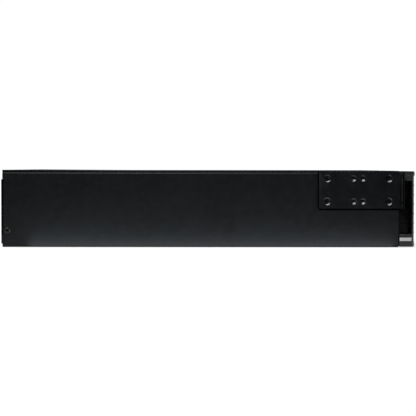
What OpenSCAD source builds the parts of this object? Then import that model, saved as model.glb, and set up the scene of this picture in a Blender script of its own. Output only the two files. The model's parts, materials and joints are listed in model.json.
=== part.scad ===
// Two-unit rack-mount uninterruptible power supply.
// Frame: +Z up, the front faces -Y, X runs across the width.
// Origin: on the underside of the tray, midway between its sides, at mid-depth of the folded body.
// All sizes in millimetres.

/* [Enclosure] */
// Width of the folded body, without the rack ears
body_w = 433; // [431:0.5:434]
// Height of the closed body
body_h = 88; // [87.5:0.1:88.5]
// Depth of the folded body behind the front bezel
body_d = 456.5; // [452:0.5:460]
// Sheet thickness of the tray and the inner panels
wall = 1.2; // [1:0.1:1.3]
// Thickness of the top cover's edge
cover_t = 1.6; // [1.2:0.1:1.8]
// How far the cover springs up at its rear edge
cover_lift = 0.9; // [0:0.1:1]
// Bend radius of the folded edges
bend_r = 2.2; // [1.8:0.1:3]

/* [Rack ears] */
// Length of the ear along the side of the body
ear_len = 96.2; // [92:0.1:100]
// Height of the ear
ear_h = 42.8; // [42:0.1:44]
// Sheet thickness of the ear
ear_t = 2; // [1.6:0.1:2]
// Distance between the left and right rack slot centres
rack_pitch = 465.1; // [464:0.1:466]
// Vertical distance between the two rack slots of an ear
rack_rise = 31.75; // [30:0.05:33]
// Width of a rack slot
slot_w = 6.8; // [6:0.1:7.2]
// End-to-end length of a rack slot
slot_l = 10; // [8.5:0.1:11]
// Spacing of the ear screws along the body
ear_pitch_y = 71; // [68:0.5:74]
// Spacing of the ear screws in height
ear_pitch_z = 26.4; // [25:0.1:27.5]

/* [Front bezel] */
// Pitch of the horizontal fins of the bezel
fin_pitch = 10.8; // [10.6:0.05:10.9]
// Thickness of a fin
fin_t = 1.8; // [1.4:0.1:2.2]
// How far a fin stands out of the bezel's face
fin_proud = 0.45; // [0.2:0.05:0.6]
// Height of the bright trim strip
trim_h = 3.9; // [3:0.1:3.9]

/* [Batteries] */
// Length of one battery block
batt_l = 151; // [148:0.5:151.5]
// Thickness of one battery block, which lies on its side
batt_w = 65; // [62:0.5:66]
// Depth of one battery block, from its base to its lid
batt_h = 94; // [90:0.5:95]

/* [Fan] */
// Outside size of the square fan
fan_size = 60; // [58:1:62]
// Number of blades on the fan rotor
fan_blades = 7; // [5:1:9]

/* [Hidden] */
$fn = 48;

hw = body_w / 2;               // half width of the body
yf = -body_d / 2;              // plane of the body's front
yr = body_d / 2;               // plane of the body's rear
side_h = body_h - cover_t - 0.1; // top of the tray's folded sides
panel_t = wall;
rear_face = yr + 1.3;          // outer face of the rear panel
bez_back = yf - 0.5;           // rear edge of the bezel
bez_in = yf - 14.95;           // inner plane of the bezel's face wall
ear_z0 = body_h - 0.6 - ear_h; // lower edge of an ear
ear_cz = ear_z0 + ear_h / 2;
ear_y0 = yf - 3.25;            // front face of an ear's flange
tray_x0 = -200;                // left side of the battery tray
tray_x1 = tray_x0 + 2 * batt_l + 4.5; // right side of the battery tray
bay_y1 = -11;                  // rear face of the battery bay
disp_x0 = 116;                 // left side of the display housing
disp_x1 = 194;                 // right side of the display housing
disp_z0 = 17;
disp_z1 = 73;
hx = (tray_x0 + tray_x1) / 2;  // middle of the battery tray
handle_y = yf - 4.75;          // axis of the folding handle
handle_z = 50;
fan_x = 150;                   // axis of the fan
fan_z = 41;
bank_x = [-88, -16];           // middles of the two outlet banks
bay_x0 = -206;                 // recessed input bay in the rear panel
bay_x1 = -128;
bay_floor = rear_face - 10;    // outer face of the input bay's floor
inlet_x = -184;
inlet_z = 36;
breaker_x = -146;
breaker_z = 28;
stud_x = -146;
stud_z = 56;
ear_scr_y = [yf + 12.25, yf + 12.25 + ear_pitch_y];
ear_scr_z = [ear_cz - ear_pitch_z / 2, ear_cz + ear_pitch_z / 2];
spare_y = [yf + 42.35, yf + 52.85];
thumb_x = [-172, 78];
thumb_z = 62;
menu_x = [130, 147, 164];
menu_z = 22.5;
pb_x = 183;
pb_z = 58;

// ---------- helpers ----------

module xbox(x0, x1, y0, y1, z0, z1) translate([x0, y0, z0]) cube([x1 - x0, y1 - y0, z1 - z0]);

// cylinder or cone along +Y, from y0 to y1
module ycyl(x, z, y0, y1, r1, r2 = -1)
  translate([x, y0, z]) rotate([-90, 0, 0]) cylinder(h = y1 - y0, r1 = r1, r2 = r2 < 0 ? r1 : r2);

// cylinder or cone along +X, from x0 to x1
module xcyl(y, z, x0, x1, r1, r2 = -1)
  translate([x0, y, z]) rotate([0, 90, 0]) cylinder(h = x1 - x0, r1 = r1, r2 = r2 < 0 ? r1 : r2);

// upright cylinder or cone
module zcyl(x, y, z0, z1, r1, r2 = -1)
  translate([x, y, z0]) cylinder(h = z1 - z0, r1 = r1, r2 = r2 < 0 ? r1 : r2);

// flat rounded rectangle, centred on x, standing on y = 0
module rrect(w, h, r) {
  translate([-w / 2 + r, 0]) square([w - 2 * r, h]);
  translate([-w / 2, r]) square([w, h - 2 * r]);
  for (sx = [-1, 1]) for (z = [r, h - r]) translate([sx * (w / 2 - r), z]) circle(r);
}

// flat rounded rectangle given by its corners
module rbox2(x0, x1, y0, y1, r) translate([(x0 + x1) / 2, y0]) rrect(x1 - x0, y1 - y0, r);

// rounded box whose outline lies in the XZ plane, from y0 to y1
module yslab(x0, x1, z0, z1, y0, y1, r)
  translate([0, y1, 0]) rotate([90, 0, 0]) linear_extrude(height = y1 - y0) rbox2(x0, x1, z0, z1, r);

// slot with round ends along X, cut through from y0 to y1
module yslot(x, z, len, wid, y0, y1)
  translate([0, y1, 0]) rotate([90, 0, 0]) linear_extrude(height = y1 - y0) {
    translate([x - (len - wid) / 2, z - wid / 2]) square([len - wid, wid]);
    for (s = [-1, 1]) translate([x + s * (len - wid) / 2, z]) circle(wid / 2);
  }

// upright slot with round ends along Z
module zslot(x, z, len, wid, y0, y1)
  translate([0, y1, 0]) rotate([90, 0, 0]) linear_extrude(height = y1 - y0) {
    translate([x - wid / 2, z - (len - wid) / 2]) square([wid, len - wid]);
    for (s = [-1, 1]) translate([x, z + s * (len - wid) / 2]) circle(wid / 2);
  }

// outline of a three-pin power connector, two corners cut, centred
module conn2(w, h, c)
  polygon([[-w / 2, -h / 2], [w / 2, -h / 2], [w / 2, h / 2 - c], [w / 2 - c, h / 2], [-w / 2 + c, h / 2], [-w / 2, h / 2 - c]]);
module conn(x, z, w, h, c, y0, y1)
  translate([x, y1, z]) rotate([90, 0, 0]) linear_extrude(height = y1 - y0) conn2(w, h, c);

// unit vector, and the direction of a route at its point i
function unit(v) = v / norm(v);
function along(p, i) = unit((i > 0 ? unit(p[i] - p[i - 1]) : [0, 0, 0]) + (i < len(p) - 1 ? unit(p[i + 1] - p[i]) : [0, 0, 0]));
// a side direction at point i, carried along the route without twist
function side_at(p, i) = i == 0 ? unit(cross(along(p, 0), abs(along(p, 0)[0]) > 0.8 ? [0, 1, 0.1] : [1, 0.1, 0]))
  : let(t = along(p, i), u = side_at(p, i - 1)) unit(u - (u * t) * t);
// round wire swept through a list of points
module wire(pts, r, n = 10) {
  rings = [for (i = [0 : len(pts) - 1]) let(t = along(pts, i), u = side_at(pts, i), v = cross(t, u))
    for (k = [0 : n - 1]) pts[i] + r * (cos(360 * k / n) * u + sin(360 * k / n) * v)];
  polyhedron(points = rings, faces = concat(
    [[for (k = [0 : n - 1]) n - 1 - k]],
    [for (i = [0 : len(pts) - 2]) for (k = [0 : n - 1]) for (f = [0, 1]) let(a = i * n + k, b = i * n + (k + 1) % n)
      f == 0 ? [b, b + n, a + n] : [b, a + n, a]],
    [[for (k = [0 : n - 1]) (len(pts) - 1) * n + k]]), convexity = 6);
}

// cross recess of a screw, its mouth at the origin and its depth along -Z
module cross_recess(s) {
  for (a = [0, 90]) rotate([0, 0, a]) translate([-s, -s * 0.22, -s * 0.75]) cube([2 * s, s * 0.44, s]);
  translate([0, 0, -s * 0.95]) cylinder(h = s * 1.2, r1 = s * 0.2, r2 = s * 0.6);
}
// flat countersunk screw, face at the origin, shank along -Z
module csk_screw(head_r, shank_r, len)
  difference() {
    union() {
      cylinder(h = 0.001, r = head_r);
      translate([0, 0, -0.35]) cylinder(h = 0.35, r = head_r);
      translate([0, 0, -0.35 - (head_r - shank_r)]) cylinder(h = head_r - shank_r, r1 = shank_r, r2 = head_r);
      translate([0, 0, -len]) cylinder(h = len - 0.5, r = shank_r);
    }
    cross_recess(head_r * 0.55);
  }
// hole for it: countersink and clearance hole
module csk_hole(head_r, hole_r, depth) {
  translate([0, 0, -0.4]) cylinder(h = 1, r = head_r + 0.1);
  translate([0, 0, -0.4 - (head_r + 0.1 - hole_r)]) cylinder(h = head_r + 0.1 - hole_r, r1 = hole_r, r2 = head_r + 0.1);
  translate([0, 0, -depth]) cylinder(h = depth, r = hole_r);
}
// pan-head screw, underside of the head at the origin, shank along -Z
module pan_screw(head_r, head_h, shank_r, len)
  difference() {
    union() {
      cylinder(h = head_h * 0.5, r = head_r);
      translate([0, 0, head_h * 0.5]) cylinder(h = head_h * 0.5, r1 = head_r, r2 = head_r * 0.72);
      translate([0, 0, -len]) cylinder(h = len + 0.1, r = shank_r);
    }
    translate([0, 0, head_h]) cross_recess(head_r * 0.55);
  }

// ---------- enclosure ----------

// places for the flush screws of the top cover
cover_scr = [for (x = [-1, 1]) for (y = [-200, -40, 110]) [x * (hw - 8), y]];
// places for the flush screws of the rear panel
rear_scr = [for (x = [-1, 1]) for (z = [10, 72]) [x * (hw - 6.5), z]];
fan_scr = [for (x = [-25, 25]) for (z = [-25, 25]) [fan_x + x, fan_z + z]];

module chassis_base() color([0.1, 0.11, 0.12])
  difference() {
    union() {
      translate([0, yr, 0]) rotate([90, 0, 0]) linear_extrude(height = body_d - 0.85) difference() {
        rrect(body_w, side_h, bend_r);
        translate([0, wall]) rrect(body_w - 2 * wall, side_h - 2 * wall, bend_r - wall);
        translate([-hw + 13, side_h - 5]) square([body_w - 26, 10]);
      }
      // turned-up lip under the rear panel
      xbox(-hw + 3, hw - 3, yr - wall, yr, wall / 2, 3.8);
      // pressed ribs that stiffen the floor
      for (x = [-120, 20, 140]) xbox(x - 4, x + 4, 10, 190, wall / 2, wall + 0.9);
    }
    // relief for the cover's rear lip
    xbox(-hw + wall + 0.3, hw - wall - 0.3, yr - 1.6, yr + 1, side_h - 4, side_h + 2);
    // ear screw holes
    for (s = [-1, 1]) for (y = ear_scr_y) for (z = ear_scr_z) xcyl(y, z, s * hw - 3, s * hw + 3, 2.5);
    // side screw holes at the rear
    for (s = [-1, 1]) xcyl(yr - 5.6, 19.1, s * hw - 3, s * hw + 3, 2.1);
    // cover screw holes in the folded flanges
    for (p = cover_scr) zcyl(p[0], p[1], side_h - 3, side_h + 1, 1.56);
  }

// outline of the cover in the YZ plane, with its rear end springing up a little
function lift(y) = y < 80 ? 0 : cover_lift * pow((y - 80) / (yr - 80), 1.5);
cover_ys = [for (i = [0 : 8]) 80 + (yr - 80) * i / 8];
module top_cover() color([0.09, 0.1, 0.11])
  difference() {
    union() {
      translate([-hw + 0.15, 0, 0]) rotate([90, 0, 90]) linear_extrude(height = body_w - 0.3)
        polygon(concat(
          [[yf + 0.85, side_h + 0.1], [yf + 0.85, body_h]],
          [for (y = cover_ys) [y, body_h + lift(y)]],
          [for (i = [8 : -1 : 0]) [cover_ys[i], side_h + 0.1 + lift(cover_ys[i])]]));
      // rear lip, folded down over the rear panel's upper flange
      xbox(-hw + wall + 0.5, hw - wall - 0.5, yr - wall, yr, body_h - 9.6, body_h + cover_lift - 0.3);
    }
    for (p = cover_scr) translate([p[0], p[1], body_h + lift(p[1])]) csk_hole(2.9, 1.7, 4);
  }

module rear_panel() color([0.11, 0.12, 0.13])
  difference() {
    union() {
      difference() {
        union() {
          xbox(-hw + 0.2, hw - 0.2, rear_face - panel_t, rear_face, 4, 78);
          // flanges folded forwards into the body
          for (s = [-1, 1]) xbox(min(s * (hw - wall - 0.25), s * (hw - wall - 1.45)), max(s * (hw - wall - 0.25), s * (hw - wall - 1.45)), yr - 14, rear_face - 0.5, 5, 77);
          xbox(-hw + 3, hw - 3, yr - 10, rear_face - 0.5, 76.8, 78);
          xbox(-hw + 3, hw - 3, yr - 10, rear_face - 0.5, 4, 5.2);
        }
        // opening of the input bay
        xbox(bay_x0, bay_x1, yr - 5, yr + 3, 12, 70);
      }
      // folded walls and floor of the input bay
      difference() {
        xbox(bay_x0 - 1.2, bay_x1 + 1.2, bay_floor - 1.2, rear_face - 0.1, 10.8, 71.2);
        xbox(bay_x0, bay_x1, bay_floor, rear_face + 1, 12, 70);
      }
    }
    // outlet banks
    for (x = bank_x) yslab(x - 32.2, x + 32.2, 11.8, 70.2, yr - 1, yr + 3, 2);
    // inlet, breaker and earth stud
    conn(inlet_x, inlet_z, 28, 20.4, 4, bay_floor - 3, bay_floor + 1);
    ycyl(breaker_x, breaker_z, bay_floor - 3, bay_floor + 1, 6.1);
    ycyl(stud_x, stud_z, bay_floor - 3, bay_floor + 1, 2.6);
    // communication ports and option slot
    xbox(25.8, 38.2, yr - 1, yr + 3, 12.8, 24.2);
    for (x = [42, 62]) xbox(x - 0.2, x + 16.2, yr - 1, yr + 3, 11.8, 26.2);
    xbox(24, 84, yr - 1, yr + 3, 38, 68);
    for (x = [27, 81]) for (z = [33, 73]) ycyl(x, z, yr - 1, yr + 3, 1.3);
    // air outlet of the fan
    ycyl(fan_x, fan_z, yr - 1, yr + 3, 28);
    for (p = fan_scr) translate([p[0], rear_face, p[1]]) rotate([-90, 0, 0]) csk_hole(3, 1.9, 3);
    // vent slots beside the fan
    for (i = [0 : 4]) zslot(188 + i * 4.5, 41, 52, 2.4, yr - 1, yr + 3);
    for (i = [0 : 4]) zslot(94 + i * 4.5, 41, 52, 2.4, yr - 1, yr + 3);
    // screws into the body's rear flanges
    for (s = [-1, 1]) xcyl(yr - 5.6, 19.1, s * hw - 5, s * hw + 5, 2.1);
  }

// inner front panel, behind the bezel
module front_frame() color([0.55, 0.56, 0.57])
  difference() {
    union() {
      xbox(-hw + 1.6, hw - 1.6, yf + 0.95, yf + 2.15, wall + 0.2, side_h - 0.3 - wall);
      for (s = [-1, 1]) xbox(min(s * (hw - 1.6), s * (hw - 2.8)), max(s * (hw - 1.6), s * (hw - 2.8)), yf + 1, yf + 14, wall + 2, side_h - 3 - wall);
      xbox(-hw + 3, hw - 3, yf + 1, yf + 12, side_h - 1.5 - wall, side_h - 0.3 - wall);
    }
    // mouth of the battery bay
    xbox(tray_x0 - 1, tray_x1 + 1, yf - 1, yf + 3, wall + 0.6, 80);
    // passage for the display cable
    yslab(130, 180, 28, 62, yf - 1, yf + 3, 3);
    for (x = thumb_x) ycyl(x, 82.2, yf - 1, yf + 3, 0.9);
    // ear screws reach past the panel's side flange
    for (s = [-1, 1]) for (z = ear_scr_z) xcyl(ear_scr_y[0], z, s * hw - 8, s * hw + 8, 2.2);
  }

// sheet walls that enclose the battery tray
module battery_bay() color([0.6, 0.61, 0.62])
  difference() {
    union() {
      xbox(tray_x0 - 2.4, tray_x0 - 1.2, yf + 2.4, bay_y1, wall + 0.1, 79);
      xbox(tray_x1 + 1.2, tray_x1 + 2.4, yf + 2.4, bay_y1, wall + 0.1, 79);
      xbox(tray_x0 - 2.4, tray_x1 + 2.4, bay_y1 - 1.2, bay_y1, wall + 0.1, 79);
      // folded feet
      xbox(tray_x0 - 10, tray_x0 - 1.8, yf + 20, bay_y1, wall + 0.1, wall + 1.3);
      xbox(tray_x1 + 1.8, tray_x1 + 5, yf + 20, bay_y1, wall + 0.1, wall + 1.3);
    }
    xbox(-86, -34, bay_y1 - 3, bay_y1 + 2, 14, 50);
    for (z = [24, 40, 56]) for (x = [-180 : 20 : -100]) yslot(x, z, 12, 4, bay_y1 - 3, bay_y1 + 2);
    for (z = [24, 40, 56]) for (x = [-10 : 20 : 90]) yslot(x, z, 12, 4, bay_y1 - 3, bay_y1 + 2);
  }

// plain 90 degree countersink that starts at the surface
module sink_hole(mouth_r, hole_r) {
  translate([0, 0, -(mouth_r - hole_r)]) cylinder(h = mouth_r - hole_r + 0.1, r1 = hole_r, r2 = mouth_r + 0.1);
  translate([0, 0, -5]) cylinder(h = 5, r = hole_r);
}
// countersunk screw that sits below the surface
module sunk_screw(head_r, shank_r, depth, len)
  difference() {
    union() {
      translate([0, 0, -depth - 0.15]) cylinder(h = 0.15, r = head_r);
      translate([0, 0, -depth - 0.15 - (head_r - shank_r)]) cylinder(h = head_r - shank_r, r1 = shank_r, r2 = head_r);
      translate([0, 0, -len]) cylinder(h = len - depth - 0.5, r = shank_r);
    }
    translate([0, 0, -depth]) cross_recess(head_r * 0.62);
  }

module ear() color([0.08, 0.09, 0.1])
  difference() {
    union() {
      difference() {
        translate([0, 0, ear_z0]) linear_extrude(height = ear_h) {
          // plate along the body
          translate([-hw - 0.1 - ear_t, ear_y0 + 3]) square([ear_t, ear_len - 3]);
          // flange
          translate([-241.3, ear_y0]) square([241.3 - hw - 0.1 - 3, ear_t]);
          // bend between them
          translate([-hw - 0.1 - 3, ear_y0 + 3]) intersection() {
            difference() { circle(3); circle(3 - ear_t); }
            translate([0, -4]) square([4, 4]);
          }
        }
      }
    }
    for (z = [-1, 1]) yslot(-rack_pitch / 2, ear_cz + z * rack_rise / 2, slot_l, slot_w, ear_y0 - 1, ear_y0 + 4);
    for (y = ear_scr_y) for (z = ear_scr_z) translate([-hw - 0.1 - ear_t, y, z]) rotate([0, -90, 0]) sink_hole(4.3, 2.25);
    for (y = spare_y) for (z = ear_scr_z) translate([-hw - 0.1 - ear_t, y, z]) rotate([0, -90, 0]) sink_hole(3.5, 1.55);
  }
module left_ear() ear();
module right_ear() mirror([1, 0, 0]) ear();

module ear_screws() color([0.13, 0.13, 0.14])
  for (s = [0, 1]) mirror([s, 0, 0]) for (y = ear_scr_y) for (z = ear_scr_z)
    translate([-hw - 0.1 - ear_t, y, z]) rotate([0, -90, 0]) rotate([0, 0, 20]) sunk_screw(3, 2, 1, 7);
module side_screws() color([0.2, 0.2, 0.21])
  for (s = [0, 1]) mirror([s, 0, 0])
    translate([-hw - 0.05, yr - 5.6, 19.1]) rotate([0, -90, 0]) rotate([0, 0, 35]) pan_screw(3.9, 1.9, 2.0, 5);
module cover_screws() color([0.13, 0.13, 0.14])
  for (p = cover_scr) translate([p[0], p[1], body_h + lift(p[1])]) csk_screw(2.8, 1.5, 6);
module rear_screws() color([0.13, 0.13, 0.14])
  for (p = fan_scr) translate([p[0], rear_face, p[1]]) rotate([-90, 0, 0]) csk_screw(2.9, 1.7, 9);

// moulded rails that hold the bezel's clips
module bezel_rail(x0, x1, px0, px1)
  difference() {
    xbox(x0, x1, yf - 10.05, yf + 0.9, 15.5, 45);
    xbox(px0, px1, yf - 11, yf - 3.25, 21.5, 38.5);
    for (z = [17.1, 27.8, 37.6]) xbox(x0 - 1, x0 + 0.9, yf - 11, yf - 1, z - 0.5, z + 0.5);
    for (z = [17.1, 27.8, 37.6]) xbox(x1 - 0.9, x1 + 1, yf - 11, yf - 1, z - 0.5, z + 0.5);
  }
module bezel_rails() color([0.07, 0.07, 0.08]) {
  bezel_rail(-214.5, -204.5, -210.4, -207.4);
  bezel_rail(204.5, 214.5, 207.4, 210.4);
}
module tray_glides() color([0.8, 0.8, 0.78])
  for (x = [-180, hx, 86]) xbox(x - 6, x + 6, yf + 6, -24, wall + 0.02, 2.3);

// ---------- front bezel ----------

fin_z = [for (i = [0 : 6]) 6.4 + i * fin_pitch];
function face_y(z) = yf - 16.95;  // front of the bezel at height z
module bezel_frame() color([0.09, 0.095, 0.1])
  difference() {
    union() {
      difference() {
        intersection() {
          translate([-hw + 0.3, 0, 0]) rotate([90, 0, 90]) linear_extrude(height = body_w - 0.6)
            polygon(concat(
              [[bez_back, 87.5], [bez_back, 0.6], [yf - 16.2, 0.6], [yf - 17.3, 1.1], [yf - 17.75, 2.2], [yf - 17.75, 5]],
              [for (z = fin_z) for (k = [0 : 3])
                [face_y(z) - ((k == 1 || k == 2) ? fin_proud : 0), z + (k < 2 ? -fin_t / 2 : fin_t / 2) + (k == 1 ? 0.25 : k == 2 ? -0.25 : 0)]],
              [[face_y(82), 81.8], [yf - 18, 82.6], [yf - 18, 86.2], [yf - 16.7, 87.5]]));
          translate([0, 0, -1]) linear_extrude(height = 100) {
            translate([-hw + 0.3, yf - 14.5]) square([body_w - 0.6, 20]);
            translate([-hw + 3.3, yf - 20]) square([body_w - 6.6, 20]);
            for (s = [-1, 1]) translate([s * (hw - 3.3), yf - 14.5]) circle(3);
          }
        }
        // sides of the top lip stand back
        for (s = [-1, 1]) xbox(s * hw - 1, s * hw + 1, yf - 20, yf + 1, 82.7, 89);
        // hollow behind the face
        xbox(-hw + 2.9, hw - 2.9, bez_in, yf + 1, 15, 84.6);
        // hollow of the lower block
        xbox(-hw + 4.5, hw - 4.5, yf - 12.35, yf + 1, 2.6, 12.6);
        xbox(-hw + 4.5, hw - 4.5, yf - 3.2, yf + 1, 2.6, 16);
        // finger recess in each side
        for (s = [-1, 1]) xbox(s * hw - 3.5, s * hw + 3.5, bez_in, yf + 1, 15, 76.5);
        // groove of the trim strip
        for (s = [-1, 1]) xbox(s * hw - 1.75, s * hw + 1.75, yf - 14.5, yf + 1, 7.15, 7.25 + trim_h);
        xbox(-205.2, 205.2, yf - 20, yf - 14.45, 7.15, 7.25 + trim_h);
        // shadow groove above it
        for (s = [-1, 1]) xbox(s * hw - 1.2, s * hw + 1.2, yf - 14.4, yf + 1, 7.2 + trim_h, 12.6);
        // grille openings between the fins
        for (i = [0 : 5]) for (x = [0 : 2])
          xbox(-186 + x * 97.5, -92 + x * 97.5, yf - 20, yf, max(15.2, fin_z[i] + fin_t / 2), fin_z[i + 1] - fin_t / 2);
      }
      // deeper fins across the grille
      for (i = [1 : 6]) xbox(-187, 104, bez_in + 0.4 - 1, yf - 12, fin_z[i] - fin_t / 2, fin_z[i] + fin_t / 2);
      // inner walls of the finger recesses
      xbox(-190, -187.6, bez_in - 0.5, yf - 3.4, 14.5, 85);
      xbox(199.6, 202, bez_in - 0.5, yf - 3.4, 14.5, 85);
    }
    // window of the display
    yslab(disp_x0 - 0.6, disp_x1 + 0.6, disp_z0 - 0.6, disp_z1 + 0.6, yf - 20, yf - 10, 3.6);
  }

module bezel_mesh() color([0.05, 0.05, 0.055])
  difference() {
    xbox(-187.4, 106, yf - 11.9, yf - 11.1, 15.3, 78);
    for (i = [0 : 5]) for (x = [0 : 5])
      xbox(-183 + x * 48, -139 + x * 48, yf - 13, yf - 10, 17.6 + i * fin_pitch - 0.2, 17.6 + i * fin_pitch + 6.2);
  }

module bezel_clips() color([0.12, 0.12, 0.13])
  for (s = [-1, 1]) difference() {
    union() {
      xbox(min(s * 208, s * 209.8), max(s * 208, s * 209.8), bez_in + 0.05, yf - 3.8, 22, 38);
      xbox(min(s * 207.7, s * 210.1), max(s * 207.7, s * 210.1), yf - 6.5, yf - 4.5, 22, 38);
    }
    xbox(s * 208.9 - 3, s * 208.9 + 3, yf - 12, yf - 3, 29.3, 30.7);
  }

module trim_strips() color([0.78, 0.78, 0.76]) {
  for (s = [-1, 1]) xbox(min(s * (hw - 0.35), s * (hw - 1.7)), max(s * (hw - 0.35), s * (hw - 1.7)), yf - 14.45, bez_back - 0.1, 7.2, 7.2 + trim_h);
  xbox(-205.1, 205.1, yf - 15.7, yf - 14.5, 7.2, 7.2 + trim_h);
}

// ---------- battery tray ----------

module battery_tray() color([0.62, 0.63, 0.64])
  difference() {
    union() {
      xbox(tray_x0, tray_x1, yf + 0.9, -17, 2.4, 3.4);
      xbox(tray_x0, tray_x0 + 0.9, yf + 0.9, -17, 2.4, 58);
      xbox(tray_x1 - 0.9, tray_x1, yf + 0.9, -17, 2.4, 58);
      xbox(tray_x0, tray_x1, -18, -17, 2.4, 58);
    }
    for (x = [-170, -110, 10, 70]) yslab(x - 20, x + 20, 18, 44, -19, -16, 4);
  }
module tray_front() color([0.12, 0.125, 0.13])
  difference() {
    union() {
      xbox(tray_x0 - 2, tray_x1 + 2.4, yf - 0.4, yf + 0.8, 3.2, 83.6);
      // lugs that carry the handle
      for (s = [-1, 1]) xbox(hx + s * 46.5 - 1, hx + s * 46.5 + 1, yf - 7.2, yf, handle_z - 3.5, handle_z + 3.5);
    }
    for (s = [-1, 1]) xcyl(handle_y, handle_z, hx + s * 46.5 - 2, hx + s * 46.5 + 2, 2.08);
    for (x = thumb_x) ycyl(x, thumb_z, yf - 1, yf + 2, 2.08);
    for (x = thumb_x) ycyl(x, 82.2, yf - 1, yf + 2, 0.9);
    for (x = [-150 : 26 : 60]) if (abs(x - hx) > 66) for (z = [18, 28, 38]) yslot(x, z, 18, 4, yf - 1, yf + 2);
  }

batt_x = [tray_x0 + 1.4, tray_x0 + 1.4 + batt_l + 2];
batt_y = [yf + 2.2, yf + 2.2 + batt_h + 18];
module battery(x, y) {
  xbox(x, x + batt_l, y, y + batt_h, 3.5, 3.5 + batt_w);
}
module batteries() color([0.17, 0.175, 0.18])
  for (x = batt_x) for (r = [0, 1]) difference() {
    battery(x, batt_y[r]);
    // joint between the case and its lid
    ly = r == 0 ? batt_y[0] + batt_h - 14 : batt_y[1] + 14;
    for (q = [0, 1]) xbox(x + q * (batt_l - 0.6), x + q * (batt_l - 0.6) + 0.6, ly - 0.4, ly + 0.4, 0, 80);
    for (q = [0, 1]) xbox(x - 1, x + batt_l + 1, ly - 0.4, ly + 0.4, 3.5 + q * (batt_w - 0.6), 4.1 + q * (batt_w - 0.6));
  }
// blade terminals: front pair points to the rear, rear pair to the front
module battery_terminals() color([0.75, 0.76, 0.78])
  for (x = batt_x) for (r = [0, 1]) for (t = [0, 1]) {
    y0 = r == 0 ? batt_y[0] + batt_h + 0.02 : batt_y[1] - 5.02;
    tx = x + 16 + t * (batt_l - 32) + (r == 0 ? 0 : 3.6) - 1.8;
    xbox(tx - 0.4, tx + 0.4, y0, y0 + 5, 52, 58.3);
  }
// short leads that join the blocks, in the gap between the two rows
module battery_links() color([0.6, 0.1, 0.08]) {
  gy = batt_y[0] + batt_h + 9;
  wire([[batt_x[0] + batt_l - 12, gy, 48], [batt_x[0] + batt_l - 4, gy, 30], [batt_x[1] + 10, gy, 30], [batt_x[1] + 18, gy, 48]], 1.8);
  wire([[batt_x[0] + 20, gy, 48], [batt_x[0] + 30, gy, 14], [batt_x[0] + 60, gy, 10], [batt_x[0] + 100, gy, 14]], 1.8);
  wire([[batt_x[1] + batt_l - 20, gy, 48], [batt_x[1] + batt_l - 30, gy, 14], [batt_x[1] + batt_l - 60, gy, 10], [batt_x[1] + batt_l - 100, gy, 14]], 1.8);
}
module holddown_bar() color([0.6, 0.61, 0.62])
  difference() {
    union() {
      xbox(tray_x0 + 1, tray_x1 - 1, batt_y[0] + batt_h - 8, batt_y[1] + 8, 3.6 + batt_w, 4.8 + batt_w);
      xbox(tray_x0 + 1, tray_x1 - 1, batt_y[0] + batt_h - 8, batt_y[0] + batt_h - 6.8, 4 + batt_w, 9 + batt_w);
    }
    for (x = [-180 : 40 : 100]) yslot(x, 7.5 + batt_w, 20, 3, batt_y[0] + batt_h - 10, batt_y[0] + batt_h - 5);
  }
module tray_connector() color([0.75, 0.5, 0.1])
  difference() {
    xbox(-80, -40, -16.95, -5.5, 20, 44);
    for (x = [-71, -49]) xbox(x - 5, x + 5, -12, -5, 25, 39);
  }

// folding bail, lying against the tray's front
module tray_handle() color([0.1, 0.1, 0.11]) {
  for (s = [-1, 1]) {
    xcyl(handle_y, handle_z, hx + s * 50.5 - 2.5, hx + s * 50.5 + 2.5, 3);
    xcyl(handle_y, handle_z, min(hx + s * 44.6, hx + s * 49), max(hx + s * 44.6, hx + s * 49), 2);
    xbox(hx + s * 50.5 - 2.5, hx + s * 50.5 + 2.5, handle_y - 1.8, handle_y + 1.8, handle_z - 27, handle_z);
  }
  xcyl(handle_y, handle_z - 27, hx - 53, hx + 53, 3.2);
}

// captive knurled screws
module thumbscrew(x)
  difference() {
    union() {
      ycyl(x, thumb_z, yf - 8.6, yf - 0.7, 5.6);
      ycyl(x, thumb_z, yf - 9.2, yf - 8.6, 5.0, 5.6);
      ycyl(x, thumb_z, yf - 1, yf + 0.75, 2.0);
    }
    for (a = [0 : 20 : 359]) translate([x + 5.9 * cos(a), yf - 9.5, thumb_z + 5.9 * sin(a)]) rotate([-90, 0, 0]) cylinder(h = 6.5, r = 0.55);
    xbox(x - 6, x + 6, yf - 10, yf - 8, thumb_z - 0.6, thumb_z + 0.6);
  }
module thumbscrew_left() color([0.5, 0.51, 0.52]) thumbscrew(thumb_x[0]);
module thumbscrew_right() color([0.5, 0.51, 0.52]) thumbscrew(thumb_x[1]);

// ---------- display ----------

module display_housing() color([0.06, 0.06, 0.07])
  difference() {
    yslab(disp_x0, disp_x1, disp_z0, disp_z1, yf - 16.55, yf + 0.85, 3);
    yslab(disp_x0 + 2, disp_x1 - 2, disp_z0 + 2, disp_z1 - 2, yf - 14.55, yf + 2, 1.5);
    xbox(disp_x0 + 6, disp_x0 + 56, yf - 18, yf - 10, 30, 66);
    ycyl(pb_x, pb_z, yf - 18, yf - 10, 6.35);
    for (x = menu_x) yslot(x, menu_z, 12.7, 6.3, yf - 18, yf - 10);
    for (z = [32, 38, 44]) ycyl(pb_x, z, yf - 18, yf - 10, 1.36);
  }
module display_lens() color([0.05, 0.07, 0.09]) xbox(disp_x0 + 6.2, disp_x0 + 55.8, yf - 16.75, yf - 15.2, 30.2, 65.8);
module lcd_panel() color([0.25, 0.35, 0.3])
  difference() {
    xbox(disp_x0 + 4, disp_x0 + 58, yf - 14.4, yf - 10.4, 28.5, 67.5);
    xbox(disp_x0 + 7, disp_x0 + 55, yf - 15, yf - 14, 31, 65);
  }
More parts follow.
